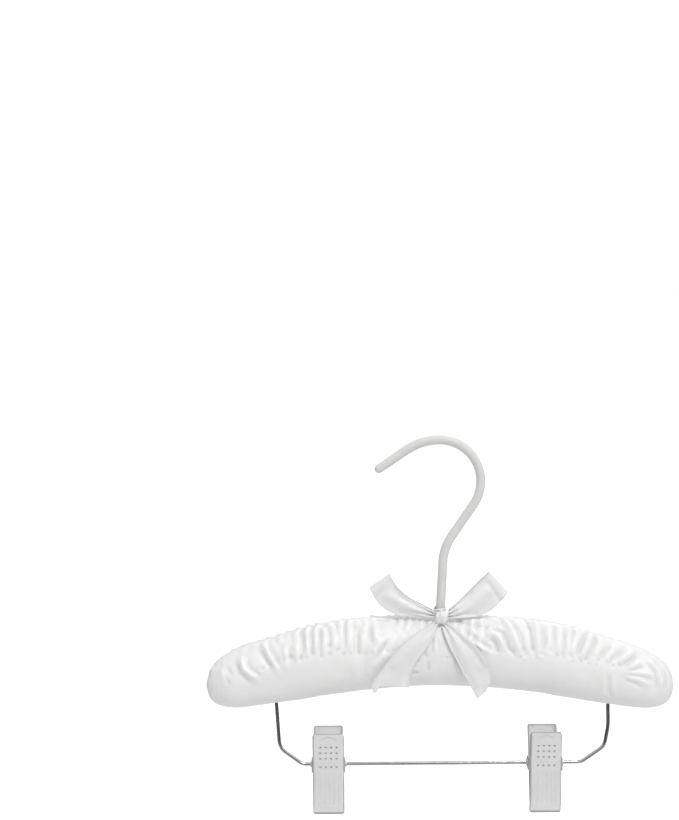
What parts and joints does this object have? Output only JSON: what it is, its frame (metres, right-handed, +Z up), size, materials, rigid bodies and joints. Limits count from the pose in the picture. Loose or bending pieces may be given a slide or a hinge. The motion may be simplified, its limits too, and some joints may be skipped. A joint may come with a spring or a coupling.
{
  "type": "clothes hanger",
  "caption": "Child's satin padded clothes hanger with a swivelling sleeved hook, a ribbon bow and a drop bar carrying a sliding pair of sprung metal clips.",
  "frame": {"origin": "seat of the hook, where the hook rests on a rail, in the plane of the hanger", "axes": "+X along the hanger's shoulders to its right seen from the front, +Y to the rear, +Z up; the front with the bow faces -Y"},
  "size_m": [0.3044, 0.0385, 0.2479],
  "materials": {
    "hook_vinyl": "satin vinyl sleeve, off-white grey",
    "hook_steel": "drawn steel wire",
    "zinc_hardware": "zinc plated",
    "core_wood": "sanded, unfinished",
    "padding": "polyester wadding",
    "satin": "white satin, gathered",
    "ribbon_satin": "white satin ribbon with woven edges",
    "bar_chrome": "bright plated wire",
    "clip_metal": "satin nickel plated sheet",
    "spring_steel": "blued spring strip"
  },
  "bodies": {
    "hook": {"hook_sleeve": "hook_vinyl", "hook_wire": "hook_steel", "hook_nut": "zinc_hardware"},
    "hanger": {"core": "core_wood", "padding_left": "padding", "padding_right": "padding", "cover_left": "satin", "cover_right": "satin", "hook_ferrule": "zinc_hardware", "hook_washer": "zinc_hardware", "bow_knot": "ribbon_satin", "bow_loop_left": "ribbon_satin", "bow_loop_right": "ribbon_satin", "bow_tail_left": "ribbon_satin", "bow_tail_right": "ribbon_satin", "drop_bar": "bar_chrome"},
    "clip_left_slider": {"clip_left_pivot_sleeve": "clip_metal"},
    "clip_left_rear": {"clip_left_rear_jaw": "clip_metal", "clip_left_spring": "spring_steel"},
    "clip_left_front": {"clip_left_front_jaw": "clip_metal"},
    "clip_right_slider": {"clip_right_pivot_sleeve": "clip_metal"},
    "clip_right_rear": {"clip_right_rear_jaw": "clip_metal", "clip_right_spring": "spring_steel"},
    "clip_right_front": {"clip_right_front_jaw": "clip_metal"}
  },
  "joints": [
    {"name": "hook_swivel", "type": "hinge", "parent": "hook", "child": "hanger", "pos_m": [0, 0, 0], "axis": [0, 0, 1], "continuous": true},
    {"name": "clip_left_slide", "type": "slide", "parent": "hanger", "child": "clip_left_slider", "axis": [1, 0, 0.0084], "range_m": [-0.0015, 0.057]},
    {"name": "clip_left_swing", "type": "hinge", "parent": "clip_left_slider", "child": "clip_left_rear", "pos_m": [-0.0728, 0, -0.20929], "axis": [1, 0, 0.0084], "continuous": true},
    {"name": "clip_left_open", "type": "hinge", "parent": "clip_left_rear", "child": "clip_left_front", "pos_m": [-0.0728, 0, -0.20929], "axis": [-1, 0, -0.0084], "range_deg": [0, 36], "stiffness_Nm_per_rad": 0.08, "springref_deg": -28.65, "deforming": ["clip_left_spring"]},
    {"name": "clip_right_slide", "type": "slide", "parent": "hanger", "child": "clip_right_slider", "axis": [1, 0, 0.0084], "range_m": [-0.055, 0.006]},
    {"name": "clip_right_swing", "type": "hinge", "parent": "clip_right_slider", "child": "clip_right_rear", "pos_m": [0.0686, 0, -0.20809], "axis": [1, 0, 0.0084], "continuous": true},
    {"name": "clip_right_open", "type": "hinge", "parent": "clip_right_rear", "child": "clip_right_front", "pos_m": [0.0686, 0, -0.20809], "axis": [-1, 0, -0.0084], "range_deg": [0, 36], "stiffness_Nm_per_rad": 0.08, "springref_deg": -28.65, "deforming": ["clip_right_spring"]}
  ]
}
